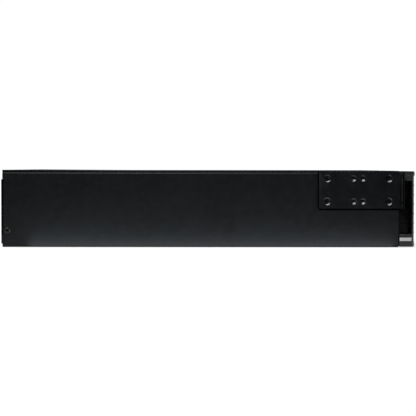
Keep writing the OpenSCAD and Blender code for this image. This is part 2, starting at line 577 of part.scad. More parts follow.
module display_board() color([0.06, 0.25, 0.12]) {
  difference() {
    xbox(disp_x0 + 2.5, disp_x1 - 2.5, yf - 6.6, yf - 5, disp_z0 + 2.5, disp_z1 - 2.5);
    for (x = [disp_x0 + 5.5, disp_x1 - 5.5]) for (z = [disp_z0 + 5.5, disp_z1 - 5.5]) ycyl(x, z, yf - 8, yf - 4, 1.6);
  }
  xbox(disp_x0 + 12, disp_x0 + 34, yf - 5.05, yf - 2, 40, 46);
  xbox(disp_x0 + 40, disp_x0 + 52, yf - 5.05, yf - 3, 36, 48);
}
module status_lights() color([0.3, 0.8, 0.35]) for (z = [32, 38, 44]) ycyl(pb_x, z, yf - 16.75, yf - 7, 1.3);

module power_button() color([0.3, 0.31, 0.32])
  difference() {
    union() {
      ycyl(pb_x, pb_z, yf - 16.2, yf - 11, 6);
      ycyl(pb_x, pb_z, yf - 16.9, yf - 16.2, 5.3, 6);
      ycyl(pb_x, pb_z, yf - 14.3, yf - 13, 7.4);
      ycyl(pb_x, pb_z, yf - 11.2, yf - 8.9, 1.8);
    }
    ycyl(pb_x, pb_z, yf - 17.5, yf - 16.6, 3.2);
  }
module menu_button(x) {
  yslot(x, menu_z, 12, 5.6, yf - 16.8, yf - 11);
  yslot(x, menu_z, 14, 6.6, yf - 14.3, yf - 13.2);
  ycyl(x, menu_z, yf - 11.2, yf - 8.2, 1.5);
}
module menu_button_left() color([0.3, 0.31, 0.32]) menu_button(menu_x[0]);
module menu_button_middle() color([0.3, 0.31, 0.32]) menu_button(menu_x[1]);
module menu_button_right() color([0.3, 0.31, 0.32]) menu_button(menu_x[2]);

// ---------- electronics ----------

module chassis_connector() color([0.75, 0.5, 0.1])
  difference() {
    union() {
      xbox(-85, -35, bay_y1 + 0.05, 6, 15, 49);
      xbox(-84.5, -35.5, -14, bay_y1 + 0.1, 15.5, 48.5);
    }
    xbox(-80.6, -39.4, -15, -3, 19.4, 44.6);
  }
brd_z = 10;
module main_board() color([0.07, 0.28, 0.14])
  difference() {
    xbox(-196, 100, 12, 190, brd_z, brd_z + 1.6);
    for (x = [-190, -48, 94]) for (y = [18, 184]) zcyl(x, y, brd_z - 1, brd_z + 3, 1.8);
    xbox(-90, -30, 5, 20, brd_z - 1, brd_z + 3);
  }
module board_standoffs() color([0.72, 0.68, 0.5])
  for (x = [-190, -48, 94]) for (y = [18, 184]) {
    zcyl(x, y, wall + 0.03, brd_z - 0.02, 3);
    zcyl(x, y, brd_z - 0.1, brd_z + 1.7, 1.75);
    zcyl(x, y, brd_z + 1.65, brd_z + 3.4, 2.9);
  }
module heat_sink(x, y, len) {
  xbox(x, x + len, y, y + 5, brd_z + 1.65, brd_z + 54);
  for (i = [0 : 8]) xbox(x, x + len, y + 4.5, y + 26, brd_z + 3 + i * 6, brd_z + 4.8 + i * 6);
}
module heat_sinks() color([0.7, 0.71, 0.72]) {
  heat_sink(-180, 70, 120);
  heat_sink(-30, 70, 110);
}
module power_transistors() color([0.1, 0.1, 0.1])
  for (x = [-170, -145, -120, -95, -20, 5, 30, 55]) {
    xbox(x, x + 15.6, 64.9, 69.9, brd_z + 14, brd_z + 34);
    for (k = [-5.4, 0, 5.4]) xbox(x + 7.8 + k - 0.6, x + 7.8 + k + 0.6, 67, 67.8, brd_z + 1.65, brd_z + 14.2);
  }
module capacitor(x, y, r, h) {
  zcyl(x, y, brd_z + 1.65, brd_z + h, r);
  zcyl(x, y, brd_z + h, brd_z + h + 1, r, r - 1);
}
module capacitors() color([0.12, 0.14, 0.22]) {
  for (x = [-165, -130, -95]) capacitor(x, 125, 15, 46);
  for (x = [66, 88]) capacitor(x, 130, 10, 38);
  for (x = [-180, -164, 40, 56]) capacitor(x, 42, 6.5, 24);
}
module relays() color([0.12, 0.25, 0.5])
  for (x = [-60, -36, -12]) {
    xbox(x, x + 16, 116, 146, brd_z + 2.2, brd_z + 20);
    for (y = [120, 128, 142]) xbox(x + 7.4, x + 8.6, y - 0.5, y + 0.5, brd_z + 1.65, brd_z + 2.3);
  }
module choke() color([0.65, 0.35, 0.15])
  translate([30, 128, brd_z + 2 + 8.2]) {
    rotate_extrude() translate([14, 0]) circle(6);
    for (a = [0 : 24 : 359]) rotate([0, 0, a]) translate([14, 0, 0]) rotate([90, 0, 0]) translate([0, 0, -1]) rotate_extrude() translate([7, 0]) circle(1.1);
  }
tx0 = 116;  // transformer, in the bay behind the display
tx1 = 206;
ty0 = -160;
ty1 = -104;
module transformer_core() color([0.28, 0.28, 0.3])
  difference() {
    xbox(tx0, tx1, ty0, ty1, 4, 79);
    for (s = [0, 1]) xbox(tx0 + 15 + s * 45, tx0 + 30 + s * 45, ty0 - 1, ty1 + 1, 19, 64);
    for (x = [tx0 + 7, tx1 - 7]) for (z = [10, 73]) ycyl(x, z, ty0 - 1, ty1 + 1, 2.6);
  }
module transformer_winding() color([0.7, 0.42, 0.16])
  difference() {
    xbox(tx0 + 15.5, tx1 - 15.5, ty0 - 14, ty1 + 14, 19.5, 63.5);
    xbox(tx0 + 29.5, tx0 + 60.5, ty0 - 0.5, ty1 + 0.5, 10, 70);
  }
module transformer_bracket() color([0.62, 0.63, 0.64])
  difference() {
    union() {
      xbox(tx0 - 3, tx1 + 3, ty0 - 6, ty1 + 6, 2.2, 3.8);
      for (x = [tx0 - 3, tx1 + 1.4]) xbox(x, x + 1.6, ty0 - 6, ty1 + 6, 2.2, 30);
    }
    for (y = [ty0 - 3, ty1 + 3]) for (x = [tx0 + 20, tx1 - 20]) zcyl(x, y, 1, 5, 2);
  }
module wiring() color([0.1, 0.1, 0.1]) {
  // battery leads from the chassis connector to the board
  for (x = [-71, -49]) wire([[x, 6.1, 32], [x, 16, 32], [x, 27, 36], [x, 36, 33], [x, 42, 26], [x, 43, 18], [x, 43, brd_z + 1.75]], 2.4);
  // leads from the board to the transformer
  for (k = [0, 1]) wire([[95 - k * 12, 36, brd_z + 1.75], [95 - k * 12, 36, 26 + k * 8], [105 - k * 6, 22, 36 + k * 8], [118 + k * 12, -10, 44], [132 + k * 12, -50, 46], [136 + k * 12, ty1 + 34, 44], [136 + k * 12, ty1 + 14.1, 44]], 2);
  // display lead along the right-hand side
  wire([[153, yf - 4.9, 54], [153, yf + 6, 54], [164, yf + 20, 62], [186, yf + 36, 78], [196, -165, 82], [196, -100, 82], [176, -50, 76], [120, 0, 50], [76, 24, 30], [66, 30, 22], [66, 30, brd_z + 1.75]], 1.6);
  // mains leads to the inlet and the outlets
  for (k = [-7, 0, 7]) wire([[inlet_x + k, bay_floor - 22.1, inlet_z], [inlet_x + k, 190, inlet_z], [inlet_x + k, 180, inlet_z - 6], [inlet_x + k, 174, 22], [inlet_x + k, 174, brd_z + 1.75]], 1.4);
  for (x = bank_x) for (k = [-12, 12]) wire([[x + k, yr - 19.1, 41], [x + k, 200, 41], [x + k, 190, 34], [x + k, 180, 22], [x + k, 180, brd_z + 1.75]], 1.4);
}

// ---------- rear fittings ----------

module fan_frame() color([0.07, 0.07, 0.075])
  difference() {
    union() {
      difference() {
        yslab(fan_x - fan_size / 2, fan_x + fan_size / 2, fan_z - fan_size / 2, fan_z + fan_size / 2, yr - 26.5, yr - 1.5, 4);
        ycyl(fan_x, fan_z, yr - 30, yr + 1, fan_size / 2 - 1.5);
      }
      for (a = [0, 90, 180, 270]) translate([fan_x, yr - 26.5, fan_z]) rotate([0, a + 45, 0]) xbox(12, fan_size / 2, 0, 2.4, -1.6, 1.6);
      ycyl(fan_x, fan_z, yr - 26.5, yr - 23.9, 14);
      ycyl(fan_x, fan_z, yr - 24, yr - 18, 4.5);
    }
    for (p = fan_scr) ycyl(p[0], p[1], yr - 30, yr + 1, 1.9);
    ycyl(fan_x, fan_z, yr - 25.5, yr - 17, 1.56);
  }
module fan_rotor() color([0.09, 0.09, 0.095])
  difference() {
    union() {
      ycyl(fan_x, fan_z, yr - 22.8, yr - 4, 15);
      ycyl(fan_x, fan_z, yr - 4, yr - 3, 15, 13);
      intersection() {
        ycyl(fan_x, fan_z, yr - 22, yr - 4, fan_size / 2 - 2.4);
        for (i = [0 : fan_blades - 1]) translate([fan_x, yr - 13, fan_z]) rotate([0, i * 360 / fan_blades, 0])
          translate([21.5, 0, 0]) rotate([38, 0, 0]) cube([15, 26, 1.3], center = true);
      }
    }
    difference() {
      ycyl(fan_x, fan_z, yr - 23, yr - 6, 13);
      ycyl(fan_x, fan_z, yr - 25, yr - 6, 1.5);
    }
  }
module fan_guard() color([0.6, 0.61, 0.62]) {
  gy = yr - 0.85;
  for (r = [9, 15, 21, 27]) translate([fan_x, gy, fan_z]) rotate([90, 0, 0]) rotate_extrude() translate([r, 0]) circle(0.6);
  for (a = [45, 135, 225, 315]) translate([fan_x, gy, fan_z]) rotate([0, a, 0]) {
    translate([8.7, 0, 0]) rotate([0, 90, 0]) cylinder(r = 0.55, h = 23.2);
    translate([25 * sqrt(2), 0, 0]) rotate([90, 0, 0]) rotate_extrude() translate([3.2, 0]) circle(0.6);
  }
}

module outlet_banks() color([0.05, 0.05, 0.055])
  for (bx = bank_x) difference() {
    union() {
      yslab(bx - 32, bx + 32, 12, 70, yr - 6, rear_face - 0.1, 1.8);
      yslab(bx - 34, bx + 34, 10, 72, yr - 6, yr + 0.05, 1.8);
      yslab(bx - 30, bx + 30, 13, 69, yr - 19, yr - 5, 1.8);
    }
    for (x = [-15.5, 15.5]) for (z = [-14.3, 14.3]) {
      difference() {
        conn(bx + x, 41 + z, 27.6, 20, 4.5, rear_face - 15, rear_face + 1);
        conn(bx + x, 41 + z, 21.4, 13.8, 3, rear_face - 16, rear_face - 0.5);
      }
      for (k = [-7, 0, 7]) xbox(bx + x + k - 1.1, bx + x + k + 1.1, rear_face - 17, rear_face + 1, 41 + z - 2.2 + (k == 0 ? 1.8 : -1.2), 41 + z + 2.2 + (k == 0 ? 1.8 : -1.2));
    }
  }
module outlet_contacts() color([0.8, 0.65, 0.3])
  for (bx = bank_x) for (x = [-15.5, 15.5]) for (z = [-14.3, 14.3]) for (k = [-7, 0, 7])
    xbox(bx + x + k - 1, bx + x + k + 1, rear_face - 16.9, rear_face - 9, 41 + z - 2 + (k == 0 ? 1.8 : -1.2), 41 + z + 2 + (k == 0 ? 1.8 : -1.2));

module power_inlet() color([0.05, 0.05, 0.055])
  difference() {
    union() {
      conn(inlet_x, inlet_z, 27.4, 19.8, 4, bay_floor - 22, bay_floor + 0.5);
      yslab(inlet_x - 16.5, inlet_x + 16.5, inlet_z - 13, inlet_z + 13, bay_floor + 0.03, bay_floor + 2, 2);
    }
    conn(inlet_x, inlet_z, 24.4, 16.8, 3.6, bay_floor - 16, bay_floor + 3);
  }
module inlet_pins() color([0.75, 0.76, 0.78])
  for (k = [-7, 0, 7]) xbox(inlet_x + k - 1, inlet_x + k + 1, bay_floor - 15.95, bay_floor - 1, inlet_z - 2 + (k == 0 ? 4 : -3.5), inlet_z + 2 + (k == 0 ? 4 : -3.5));

module breaker_body() color([0.06, 0.06, 0.065])
  difference() {
    union() {
      xbox(breaker_x - 8, breaker_x + 8, bay_floor - 30, bay_floor - 1.3, breaker_z - 10, breaker_z + 10);
      ycyl(breaker_x, breaker_z, bay_floor - 1.4, bay_floor + 3, 6);
      translate([breaker_x, bay_floor + 0.05, breaker_z]) rotate([-90, 0, 0]) cylinder(h = 2, r = 8.6, $fn = 6);
    }
    ycyl(breaker_x, breaker_z, bay_floor - 12, bay_floor + 4, 4.3);
  }
module breaker_button() color([0.65, 0.1, 0.08]) {
  ycyl(breaker_x, breaker_z, bay_floor - 6, bay_floor + 4.2, 4);
  ycyl(breaker_x, breaker_z, bay_floor + 4.2, bay_floor + 4.8, 4, 3.3);
}

module rj_port(x)
  difference() {
    xbox(x, x + 16, yr - 16, rear_face - 0.05, 12, 26);
    xbox(x + 2.1, x + 13.9, yr - 12, yr + 3, 15.2, 24);
    xbox(x + 5, x + 11, yr - 12, yr + 3, 13, 15.4);
  }
module comm_ports() color([0.7, 0.71, 0.73]) {
  difference() {
    xbox(26, 38, yr - 14, rear_face - 0.05, 13, 24);
    xbox(27.6, 36.4, yr - 10, yr + 3, 14.5, 22.5);
  }
  xbox(29.4, 34.6, yr - 10.2, yr - 2, 17.2, 19.8);
  rj_port(42);
  rj_port(62);
}
module slot_cover() color([0.1, 0.11, 0.12])
  difference() {
    union() {
      xbox(24.3, 83.7, rear_face - panel_t, rear_face - 0.05, 38.3, 67.7);
      xbox(26, 82, yr - 1.1, yr + 0.06, 33, 73);
      xbox(30, 78, yr - 0.1, yr + 0.2, 40, 66);
    }
    for (x = [27, 81]) for (z = [36, 70]) ycyl(x, z, yr - 3, yr + 3, 1.3);
    yslot(54, 53, 22, 5, rear_face - 0.6, rear_face + 1);
  }
module earth_stud() color([0.72, 0.68, 0.5]) {
  ycyl(stud_x, stud_z, bay_floor - 6, bay_floor + 7.6, 2.5);
  translate([stud_x, bay_floor + 0.05, stud_z]) rotate([-90, 0, 0]) cylinder(h = 3.5, r = 4.6, $fn = 6);
  ycyl(stud_x, stud_z, bay_floor - 4.5, bay_floor - 1.25, 4.4);
}

chassis_base();
top_cover();
rear_panel();
front_frame();
battery_bay();
left_ear();
right_ear();
ear_screws();
side_screws();
cover_screws();
rear_screws();
bezel_rails();
tray_glides();
bezel_frame();
bezel_mesh();
bezel_clips();
trim_strips();
battery_tray();
tray_front();
batteries();
battery_terminals();
battery_links();
holddown_bar();
tray_connector();
tray_handle();
thumbscrew_left();
thumbscrew_right();
display_housing();
display_lens();
lcd_panel();
display_board();
status_lights();
power_button();
menu_button_left();
menu_button_middle();
menu_button_right();
chassis_connector();
main_board();
board_standoffs();
heat_sinks();
power_transistors();
capacitors();
relays();
choke();
transformer_core();
transformer_winding();
transformer_bracket();
wiring();
fan_frame();
fan_rotor();
fan_guard();
outlet_banks();
outlet_contacts();
power_inlet();
inlet_pins();
breaker_body();
breaker_button();
comm_ports();
slot_cover();
earth_stud();
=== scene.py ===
import bpy
import bmesh
import json
import math
import random
from mathutils import Vector, Matrix


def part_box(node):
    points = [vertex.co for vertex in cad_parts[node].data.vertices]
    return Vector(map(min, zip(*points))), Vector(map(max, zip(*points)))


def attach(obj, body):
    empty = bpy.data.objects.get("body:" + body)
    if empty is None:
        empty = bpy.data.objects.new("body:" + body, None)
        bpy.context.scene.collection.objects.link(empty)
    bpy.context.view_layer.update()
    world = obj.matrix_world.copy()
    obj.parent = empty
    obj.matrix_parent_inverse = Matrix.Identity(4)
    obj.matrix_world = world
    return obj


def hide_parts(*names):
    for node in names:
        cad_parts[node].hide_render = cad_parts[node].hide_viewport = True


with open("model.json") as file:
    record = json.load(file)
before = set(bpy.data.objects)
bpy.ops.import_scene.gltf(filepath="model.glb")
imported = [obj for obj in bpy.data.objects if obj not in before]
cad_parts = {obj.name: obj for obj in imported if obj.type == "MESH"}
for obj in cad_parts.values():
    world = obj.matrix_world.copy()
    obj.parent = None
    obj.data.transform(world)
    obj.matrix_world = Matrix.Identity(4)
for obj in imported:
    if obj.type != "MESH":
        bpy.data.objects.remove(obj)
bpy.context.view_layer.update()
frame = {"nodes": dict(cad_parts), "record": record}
N = frame["nodes"]
MM = 0.001

# ------------------------------------------------------------------ materials


class Mat:
    """A small helper that builds one node material in object space (metres)."""

    def __init__(self, name):
        self.m = bpy.data.materials.new(name)
        self.m.use_nodes = True
        self.t = self.m.node_tree
        self.b = next(n for n in self.t.nodes if n.type == "BSDF_PRINCIPLED")
        self.co = self.t.nodes.new("ShaderNodeTexCoord").outputs["Object"]

    def node(self, kind, **kw):
        n = self.t.nodes.new(kind)
        for k, v in kw.items():
            if k in n.inputs:
                n.inputs[k].default_value = v
            else:
                setattr(n, k, v)
        return n

    def link(self, a, b):
        self.t.links.new(a, b)

    def noise(self, scale, detail=2.0, rough=0.5, stretch=None, distort=0.0):
        n = self.node("ShaderNodeTexNoise")
        n.inputs["Scale"].default_value = scale
        n.inputs["Detail"].default_value = detail
        n.inputs["Roughness"].default_value = rough
        n.inputs["Distortion"].default_value = distort
        src = self.co
        if stretch:
            mp = self.node("ShaderNodeMapping")
            mp.inputs["Scale"].default_value = stretch
            self.link(src, mp.inputs["Vector"])
            src = mp.outputs["Vector"]
        self.link(src, n.inputs["Vector"])
        return n.outputs["Fac"]

    def voronoi(self, scale, feature="F1", stretch=None):
        n = self.node("ShaderNodeTexVoronoi")
        n.feature = feature
        n.inputs["Scale"].default_value = scale
        src = self.co
        if stretch:
            mp = self.node("ShaderNodeMapping")
            mp.inputs["Scale"].default_value = stretch
            self.link(src, mp.inputs["Vector"])
            src = mp.outputs["Vector"]
        self.link(src, n.inputs["Vector"])
        return n.outputs["Distance"]

    def ramp(self, fac, stops):
        r = self.node("ShaderNodeValToRGB")
        e = r.color_ramp.elements
        while len(e) < len(stops):
            e.new(0.5)
        for i, (p, c) in enumerate(stops):
            e[i].position = p
            e[i].color = (c[0], c[1], c[2], 1) if isinstance(c, (tuple, list)) else (c, c, c, 1)
        self.link(fac, r.inputs["Fac"])
        return r.outputs["Color"]

    def range(self, fac, lo, hi, a=0.0, b=1.0):
        r = self.node("ShaderNodeMapRange")
        r.inputs["From Min"].default_value = a
        r.inputs["From Max"].default_value = b
        r.inputs["To Min"].default_value = lo
        r.inputs["To Max"].default_value = hi
        self.link(fac, r.inputs["Value"])
        return r.outputs["Result"]

    def mix(self, fac, a, b, mode="MIX"):
        x = self.node("ShaderNodeMix")
        x.data_type = "RGBA"
        x.blend_type = mode
        for src, sock in ((fac, x.inputs[0]), (a, x.inputs[6]), (b, x.inputs[7])):
            if isinstance(src, (int, float)):
                sock.default_value = src
            elif isinstance(src, (tuple, list)):
                sock.default_value = (src[0], src[1], src[2], 1)
            else:
                self.link(src, sock)
        return x.outputs[2]

    def math(self, op, a, b=None, clamp=False):
        x = self.node("ShaderNodeMath")
        x.operation = op
        x.use_clamp = clamp
        for src, i in ((a, 0), (b, 1)):
            if src is None:
                continue
            if isinstance(src, (int, float)):
                x.inputs[i].default_value = src
            else:
                self.link(src, x.inputs[i])
        return x.outputs[0]

    def edges(self, radius, lo=0.02, hi=0.25):
        """About 1 on edges of this radius, 0 on flats."""
        bev = self.node("ShaderNodeBevel")
        bev.samples = 4
        bev.inputs["Radius"].default_value = radius
        geo = self.node("ShaderNodeNewGeometry")
        dot = self.node("ShaderNodeVectorMath")
        dot.operation = "DOT_PRODUCT"
        self.link(bev.outputs["Normal"], dot.inputs[0])
        self.link(geo.outputs["Normal"], dot.inputs[1])
        return self.range(self.math("SUBTRACT", 1.0, dot.outputs["Value"]), 0.0, 1.0, lo, hi)

    def bump(self, pairs):
        """pairs of (height socket, distance in metres, strength); stacked."""
        last = None
        for h, dist, strength in pairs:
            n = self.node("ShaderNodeBump")
            n.inputs["Distance"].default_value = dist
            n.inputs["Strength"].default_value = strength
            self.link(h, n.inputs["Height"])
            if last is not None:
                self.link(last, n.inputs["Normal"])
            last = n.outputs["Normal"]
        self.link(last, self.b.inputs["Normal"])

    def set(self, **kw):
        names = {"rough": "Roughness", "metal": "Metallic", "spec": "Specular IOR Level", "color": "Base Color",
                 "coat": "Coat Weight", "coat_rough": "Coat Roughness", "sheen": "Sheen Weight", "alpha": "Alpha",
                 "trans": "Transmission Weight", "ior": "IOR", "emit": "Emission Color", "emit_strength": "Emission Strength",
                 "aniso": "Anisotropic"}
        for k, v in kw.items():
            s = self.b.inputs[names[k]]
            if hasattr(v, "is_linked"):
                self.link(v, s)
            elif isinstance(v, (tuple, list)):
                s.default_value = (v[0], v[1], v[2], 1)
            else:
                s.default_value = v
        return self


def coated(name, base, rough, grain=900.0, depth=0.00006, strength=0.5, spec=0.5, wear=None, wear_r=0.0006, mottle=0.12, dust=0.0, painted_height_shading=None, painted_highlight=None, shade=None, painted_shadow_lines=None):
    """Powder-coated or moulded surface: fine grain, slight mottling, worn edges, a little dust on top; optional
    painted height shading, painted highlights, painted shadow lines and painted shade on chosen faces.
    """
    m = Mat(name)
    big = m.noise(9.0, 3.0, 0.55)
    mid = m.noise(140.0, 4.0, 0.6)
    fine = m.noise(grain, 3.0, 0.65)
    cells = m.voronoi(grain * 0.9)
    lo = tuple(c * (1 - mottle) for c in base)
    hi = tuple(c * (1 + mottle) for c in base)
    col = m.mix(m.range(big, 0, 1, 0.3, 0.7), lo, hi)
    col = m.mix(m.range(mid, 0.0, 0.35, 0.45, 0.8), col, tuple(min(1, c * 1.5 + 0.002) for c in base))
    col = m.mix(m.range(fine, 0.0, 0.5, 0.55, 0.75), col, tuple(min(1, c * 1.9 + 0.004) for c in base))
    # painted shading: colour gain that changes with height, standing in for how light falls across the face
    if painted_height_shading:
        pos = m.node("ShaderNodeSeparateXYZ")
        m.link(m.co, pos.inputs[0])
        gain = m.range(pos.outputs["Z"], painted_height_shading[0], painted_height_shading[1], painted_height_shading[2], painted_height_shading[3])
        col = m.mix(1.0, col, gain, "MULTIPLY")
    if wear:
        e = m.math("MULTIPLY", m.edges(wear_r), m.range(m.noise(260.0, 4.0, 0.7), 0.0, 1.0, 0.45, 0.62), clamp=True)
        col = m.mix(m.math("MULTIPLY", e, 0.55), col, wear)
    if painted_highlight:
        # painted highlight: lighter where a bend or a countersink faces up and outwards, or an edge faces the given
        # direction, broken up by noise
        geo = m.node("ShaderNodeNewGeometry")
        turn = m.node("ShaderNodeVectorMath")
        turn.operation = "DOT_PRODUCT"
        turn.inputs[1].default_value = painted_highlight[1]
        m.link(geo.outputs["Normal"], turn.inputs[0])
        amount = m.range(turn.outputs["Value"], 0.0, 1.0, painted_highlight[2], painted_highlight[3])
        if len(painted_highlight) > 4:
            where = m.node("ShaderNodeSeparateXYZ")
            m.link(m.co, where.inputs[0])
            amount = m.math("MULTIPLY", amount, m.math("GREATER_THAN", where.outputs["Y"], painted_highlight[4]))
        col = m.mix(m.math("MULTIPLY", amount, m.range(m.noise(420.0, 3.0, 0.7), 0.75, 1.0, 0.3, 0.6)), col, painted_highlight[0])
    if dust:
        geo = m.node("ShaderNodeNewGeometry")
        sep = m.node("ShaderNodeSeparateXYZ")
        m.link(geo.outputs["Normal"], sep.inputs[0])
        up = m.range(sep.outputs["Z"], 0.0, dust, 0.6, 1.0)
        up = m.math("MULTIPLY", up, m.range(m.noise(35.0, 5.0, 0.7), 0.1, 1.0, 0.35, 0.75))
        col = m.mix(up, col, (0.28, 0.28, 0.27))
    if painted_shadow_lines:
        # painted shade and painted shadow lines on a side face: from and to along Y, then along Z
        geo = m.node("ShaderNodeNewGeometry")
        face = m.node("ShaderNodeSeparateXYZ")
        m.link(geo.outputs["Normal"], face.inputs[0])
        where = m.node("ShaderNodeSeparateXYZ")
        m.link(m.co, where.inputs[0])
        line = None
        for y0, y1, z0, z1 in painted_shadow_lines:
            one = m.math("MULTIPLY", m.math("GREATER_THAN", where.outputs["Y"], y0), m.math("LESS_THAN", where.outputs["Y"], y1))
            tall = m.math("MULTIPLY", m.math("GREATER_THAN", where.outputs["Z"], z0), m.math("LESS_THAN", where.outputs["Z"], z1))
            one = m.math("MULTIPLY", one, tall)
            line = one if line is None else m.math("MAXIMUM", line, one)
        line = m.math("MULTIPLY", line, m.math("GREATER_THAN", m.math("ABSOLUTE", face.outputs["X"]), 0.5))
        col = m.mix(line, col, (0.0002, 0.0002, 0.0003))
        spec = m.math("MULTIPLY", m.math("SUBTRACT", 1.0, line), spec)
    if shade:
        # painted shade: darker on the faces that look this way
        geo = m.node("ShaderNodeNewGeometry")
        turn = m.node("ShaderNodeVectorMath")
        turn.operation = "DOT_PRODUCT"
        turn.inputs[1].default_value = shade[0]
        m.link(geo.outputs["Normal"], turn.inputs[0])
        col = m.mix(m.range(turn.outputs["Value"], 0.0, 1.0, 0.85, 0.97), col, shade[1])
    m.set(color=col, spec=spec, rough=m.math("ADD", m.range(mid, -0.05, 0.06, 0.3, 0.7), m.range(big, rough - 0.03, rough + 0.03, 0.3, 0.7)))
    m.bump([(m.noise(22.0, 2.0, 0.5), 0.0009, 0.035), (fine, depth, strength), (cells, depth, strength * 0.6)])
    return m.m


def sheet_metal(name, base, rough=0.38, scratch=(6, 600, 6), tint=(0.62, 0.63, 0.6)):
    """Zinc-plated or brushed metal: streaks, spangle and fine scratches."""
    m = Mat(name)
    streak = m.noise(3.0, 5.0, 0.65, stretch=scratch)
    spangle = m.voronoi(160.0)
    big = m.noise(14.0, 3.0)
    col = m.mix(m.range(big, 0, 1, 0.3, 0.7), tuple(c * 0.84 for c in base), tuple(min(1, c * 1.08) for c in base))
    col = m.mix(m.range(spangle, 0.0, 0.35, 0.2, 0.9), col, tint)
    m.set(color=col, metal=1.0, rough=m.math("ADD", m.range(streak, -0.1, 0.12, 0.3, 0.7), m.range(spangle, rough - 0.03, rough + 0.05, 0.0, 0.8)))
    m.bump([(streak, 0.00004, 0.35), (big, 0.0006, 0.05)])
    return m.m


def plastic(name, base, rough=0.45, grain=1400.0, depth=0.00003, strength=0.35, wear=True, spec=0.5):
    m = Mat(name)
    big = m.noise(20.0, 3.0)
    fine = m.noise(grain, 2.0, 0.6)
    col = m.mix(m.range(big, 0, 1, 0.3, 0.7), tuple(c * 0.9 for c in base), tuple(min(1, c * 1.1) for c in base))
    if wear:
        e = m.math("MULTIPLY", m.edges(0.0004), m.range(m.noise(300.0, 3.0, 0.7), 0.1, 1.0, 0.4, 0.65), clamp=True)
        col = m.mix(m.math("MULTIPLY", e, 0.35), col, tuple(min(1, c * 2.0 + 0.03) for c in base))
    m.set(color=col, spec=spec, rough=m.range(m.noise(60.0, 3.0), rough - 0.06, rough + 0.06, 0.3, 0.7))
    m.bump([(fine, depth, strength)])
    return m.m


def board_material(name):
    """Solder mask with copper tracks showing through, pads and vias."""
    m = Mat(name)
    tracks = m.node("ShaderNodeTexBrick")
    tracks.inputs["Scale"].default_value = 60.0
    tracks.inputs["Mortar Size"].default_value = 0.03
    tracks.inputs["Brick Width"].default_value = 0.9
    tracks.inputs["Row Height"].default_value = 0.22
    tracks.inputs["Color1"].default_value = (0, 0, 0, 1)
    tracks.inputs["Color2"].default_value = (0, 0, 0, 1)
    tracks.inputs["Mortar"].default_value = (1, 1, 1, 1)
    m.link(m.co, tracks.inputs["Vector"])
    vias = m.range(m.voronoi(170.0), 1.0, 0.0, 0.08, 0.14)
    base = m.mix(m.range(m.noise(30.0, 3.0), 0, 1, 0.3, 0.7), (0.008, 0.075, 0.03), (0.012, 0.11, 0.045))
    col = m.mix(m.math("MULTIPLY", tracks.outputs["Fac"], 0.5), base, (0.03, 0.2, 0.08))
    col = m.mix(vias, col, (0.6, 0.55, 0.42))
    m.set(color=col, rough=m.range(vias, 0.32, 0.25), coat=0.3, coat_rough=0.15)
    m.bump([(tracks.outputs["Fac"], 0.00003, 0.6)])
    return m.m


def copper_winding(name, base, turn=0.0012, axis=1):
    """Lacquered wire laid side by side."""
    m = Mat(name)
    w = m.node("ShaderNodeTexWave")
    w.wave_type = "BANDS"
    w.bands_direction = ("X", "Y", "Z")[axis]
    w.inputs["Scale"].default_value = 1.0 / turn / 6.2832 * 3.1416
    w.inputs["Distortion"].default_value = 0.4
    w.inputs["Detail"].default_value = 1.0
    m.link(m.co, w.inputs["Vector"])
    col = m.mix(w.outputs["Fac"], tuple(c * 0.25 for c in base), base)
    m.set(color=col, metal=0.85, rough=m.range(m.noise(80.0, 3.0), 0.25, 0.42, 0.3, 0.7), coat=0.5, coat_rough=0.2)
    m.bump([(w.outputs["Fac"], 0.0003, 0.8)])
    return m.m


def laminations(name):
    m = Mat(name)
    w = m.node("ShaderNodeTexWave")
    w.bands_direction = "Y"
    w.inputs["Scale"].default_value = 420.0
    w.inputs["Distortion"].default_value = 0.6
    m.link(m.co, w.inputs["Vector"])
    rust = m.range(m.noise(45.0, 5.0, 0.7), 0.0, 1.0, 0.58, 0.72)
    col = m.mix(w.outputs["Fac"], (0.03, 0.03, 0.033), (0.13, 0.13, 0.14))
    col = m.mix(m.math("MULTIPLY", rust, 0.4), col, (0.12, 0.05, 0.025))
    m.set(color=col, metal=0.7, rough=m.range(m.noise(90.0, 3.0), 0.35, 0.55, 0.3, 0.7))
    m.bump([(w.outputs["Fac"], 0.0001, 0.7)])
    return m.m


M = {}
# powder_coat: painted highlight on the top bend; painted shade in the rear seam and along the ear's rear edge; painted
# shadow under the ear
M["powder_coat"] = coated("powder_coat", (0.0033, 0.0044, 0.0055), 0.52, spec=0.17, mottle=0.2, grain=820, depth=0.00007, strength=0.55, wear=(0.1, 0.105, 0.11), wear_r=0.0005, dust=0.01, painted_highlight=((0.03, 0.031, 0.032), (-0.66, 0.0, 0.75), 0.80, 0.95), painted_shadow_lines=((0.2271, 0.24, 0.0145, 0.2), (-0.1357, -0.1344, 0.0446, 0.0874), (-0.2272, -0.1350, 0.0430, 0.0447)))
# ear_coat: painted highlight on the countersink cones behind the flange; painted shade in the flange bend and along
# the ear's rear edge
M["ear_coat"] = coated("ear_coat", (0.0038, 0.0046, 0.0056), 0.38, spec=0.3, grain=1500, depth=0.00003, strength=0.3, wear=(0.06, 0.06, 0.06), wear_r=0.0003, painted_highlight=((0.42, 0.42, 0.42), (-0.62, 0.27, 0.737), 0.82, 0.98, -0.2265), mottle=0.05, painted_shadow_lines=((-0.2304, -0.2288, 0.0, 0.1), (-0.1357, -0.1344, 0.0446, 0.0874)))
